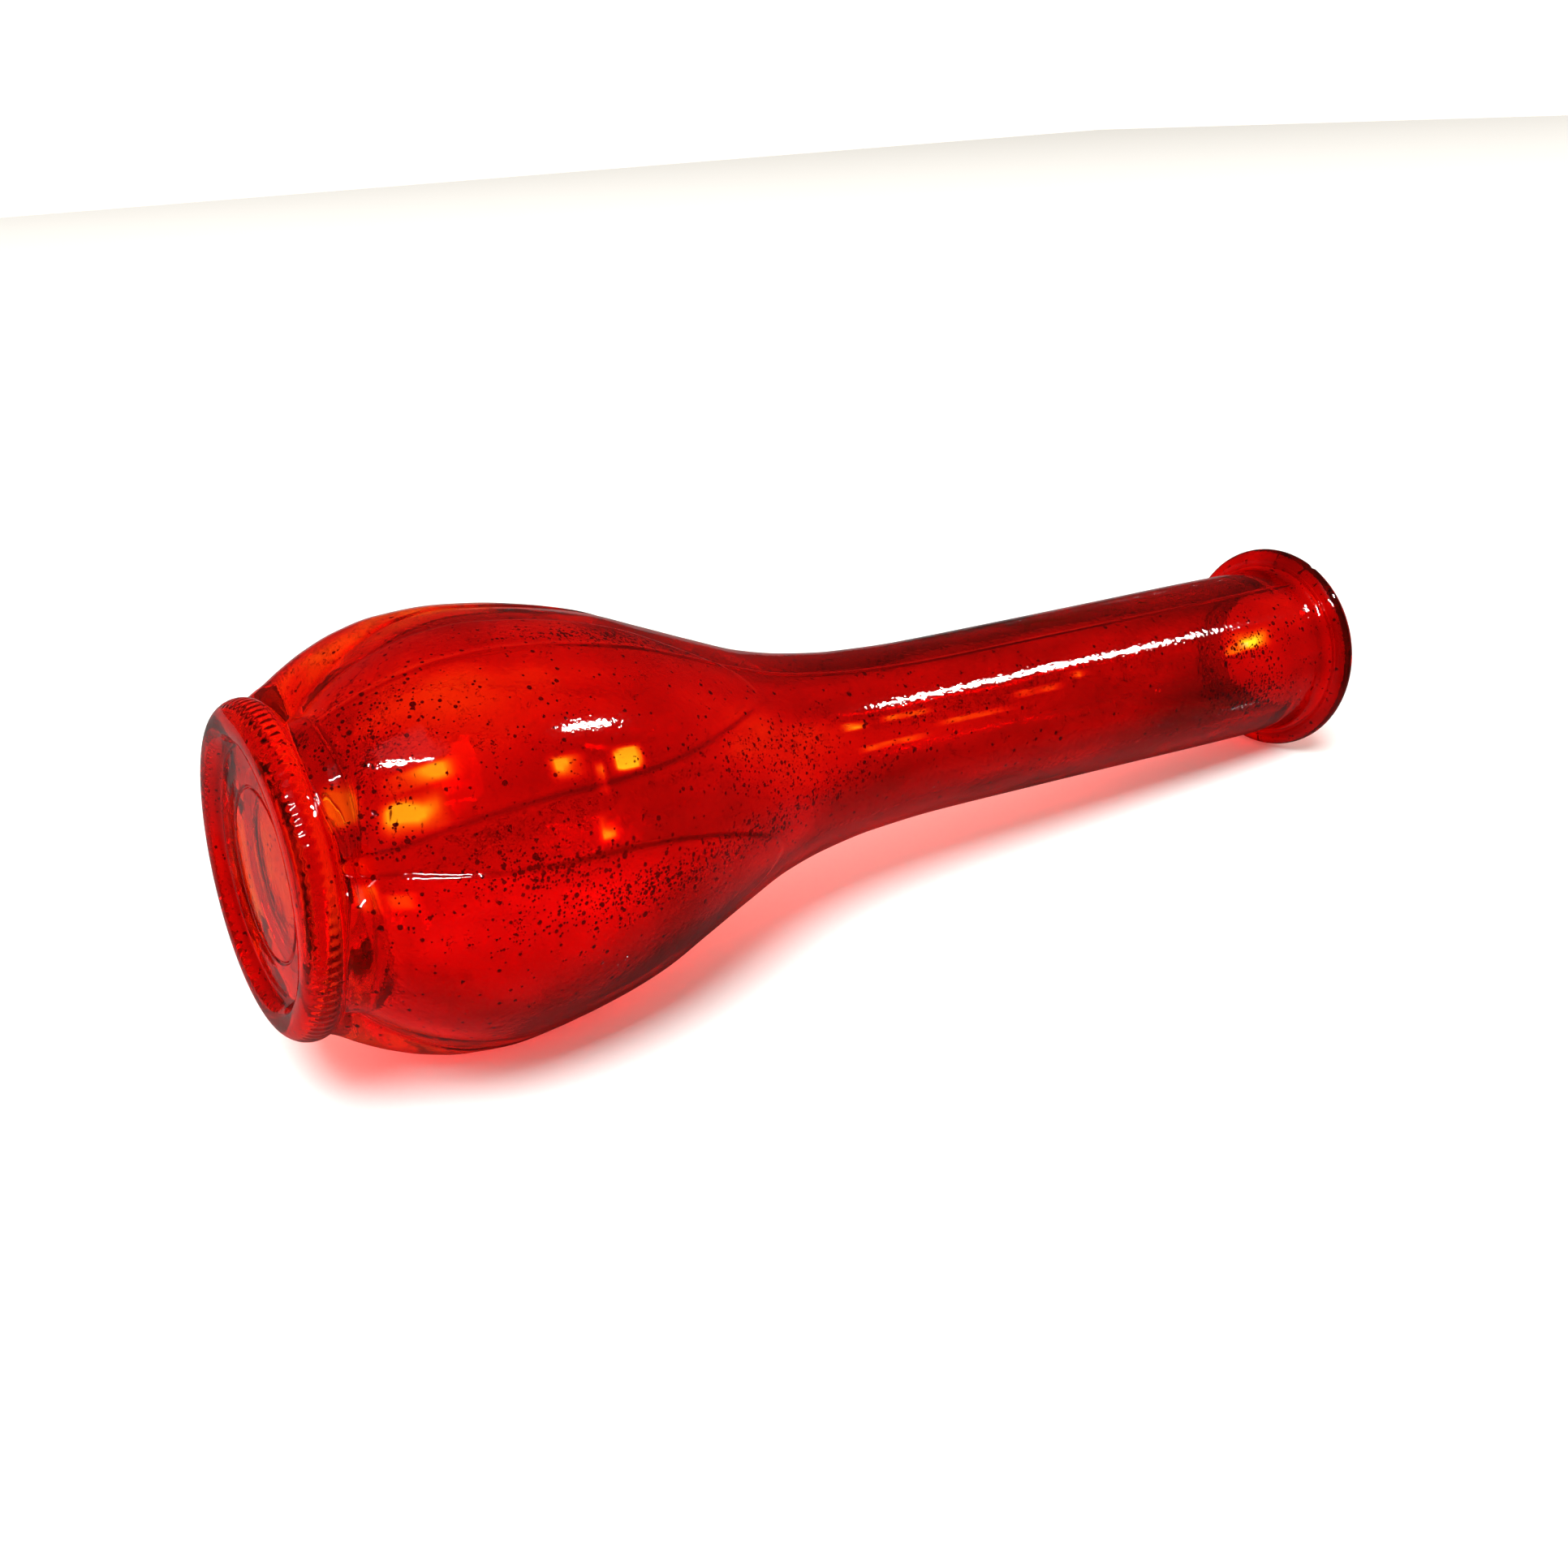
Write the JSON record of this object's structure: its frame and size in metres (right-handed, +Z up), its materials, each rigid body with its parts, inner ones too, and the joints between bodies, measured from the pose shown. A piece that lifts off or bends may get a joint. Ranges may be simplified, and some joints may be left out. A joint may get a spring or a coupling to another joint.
{
  "type": "bud vase",
  "caption": "Glass bud vase with a lobed bulb, a long slender neck, a round-edged lip and a recessed foot, stored lying on its side.",
  "frame": {"origin": "centre of the bounding box at the level the vase lies on", "axes": "+X along the vase from foot to mouth, level; +Z up; the vase's own axis lies in the XZ plane and dips 4.2 degrees toward the mouth"},
  "size_m": [0.2306, 0.0712, 0.071],
  "materials": {
    "red_glass": "glossy, translucent red coating on clear moulded glass"
  },
  "bodies": {
    "root": {"glass_vase": "red_glass"}
  },
  "joints": []
}
